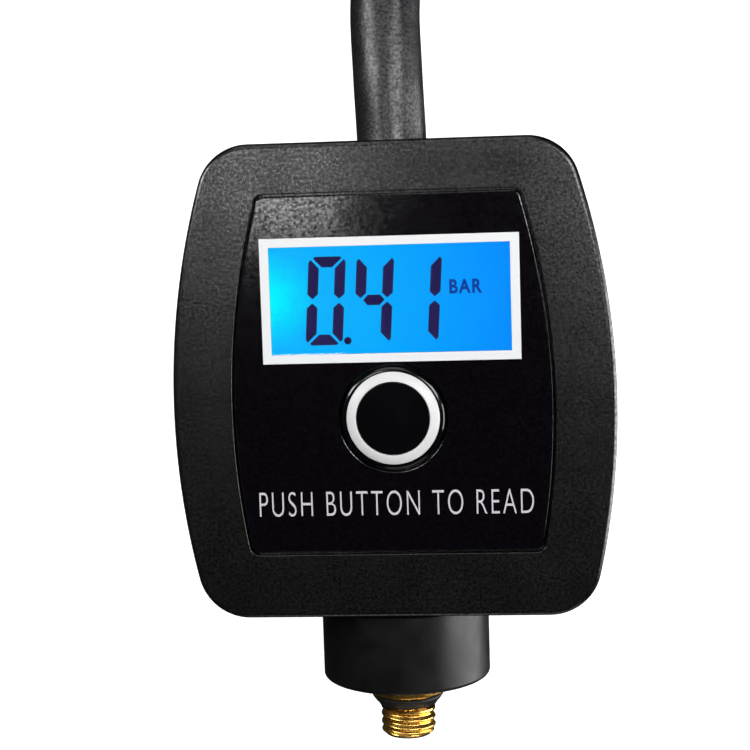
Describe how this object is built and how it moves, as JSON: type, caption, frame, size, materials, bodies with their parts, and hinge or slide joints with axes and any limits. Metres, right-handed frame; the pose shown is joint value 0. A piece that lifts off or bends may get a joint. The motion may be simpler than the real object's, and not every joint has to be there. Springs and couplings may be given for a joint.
{
  "type": "tire pressure gauge",
  "caption": "Digital tyre pressure gauge: barrel-shaped black case with a backlit display and one button, an air hose with a screw-on chuck, and a threaded brass stud.",
  "frame": {"origin": "on the flat back of the case, straight under the middle of the button", "axes": "+Z out of the display face, +Y toward the hose and away from the threaded stud, +X to the reader's right; the gauge lies on its back"},
  "size_m": [0.1039, 0.2262, 0.0266],
  "materials": {
    "housing": "fine spark-eroded texture",
    "panel": "polished, printed from behind",
    "display": "blue backlit liquid crystal display",
    "diffuser": "milky light guide",
    "holder": "moulded",
    "elastomer": "striped conductive strip",
    "button": "satin centre with a glossy rim",
    "button_ring": "white inlay",
    "board": "green solder mask",
    "steel": "nickel plated",
    "brass": "turned and bright",
    "seal": "nitrile",
    "hose": "satin, smooth cover",
    "collar": "smooth satin",
    "lead_red": "insulated wire",
    "lead_black": "insulated wire"
  },
  "bodies": {
    "case": {"front_shell": "housing", "rear_shell": "housing", "face_panel": "panel", "lcd_glass": "display", "lcd_backlight": "diffuser", "lcd_holder": "holder", "zebra_strip_upper": "elastomer", "zebra_strip_lower": "elastomer", "switch_body": "steel", "main_board": "board", "board_screw_1": "steel", "board_screw_2": "steel", "pressure_sensor": "steel", "sensor_o_ring": "seal", "manifold_block": "brass", "hose_barb": "brass", "hose_ferrule": "steel", "collar": "collar", "threaded_stud": "brass", "stud_o_ring": "seal", "coin_cell": "steel", "battery_contact_positive": "steel", "battery_contact_negative": "steel", "battery_lead_red": "lead_red", "battery_lead_black": "lead_black", "case_screw_1": "steel", "case_screw_2": "steel", "case_screw_3": "steel", "case_screw_4": "steel", "hose_run": "hose", "hose_coil": "hose", "hose_tail": "hose", "chuck_ferrule": "steel", "chuck_body": "brass", "chuck_seal": "seal", "chuck_pin": "brass"},
    "button": {"button_cap": "button", "button_ring": "button_ring", "switch_plunger": "holder"},
    "battery_door": {"battery_cap": "housing", "battery_cap_seal": "seal"},
    "nut": {"chuck_nut": "brass"}
  },
  "joints": [
    {"name": "button_press", "type": "slide", "parent": "case", "child": "button", "axis": [0, 0, -1], "range_m": [0, 0.0005], "stiffness_N_per_m": 1200, "springref_m": -0.0003},
    {"name": "battery_cap_turn", "type": "hinge", "parent": "case", "child": "battery_door", "pos_m": [0, 0.0175, 0.001], "axis": [0, 0, 1], "range_deg": [0, 60]},
    {"name": "nut_spin", "type": "hinge", "parent": "case", "child": "nut", "pos_m": [-0.048, 0.168, 0.01785], "axis": [-1, 0, 0], "continuous": true}
  ]
}
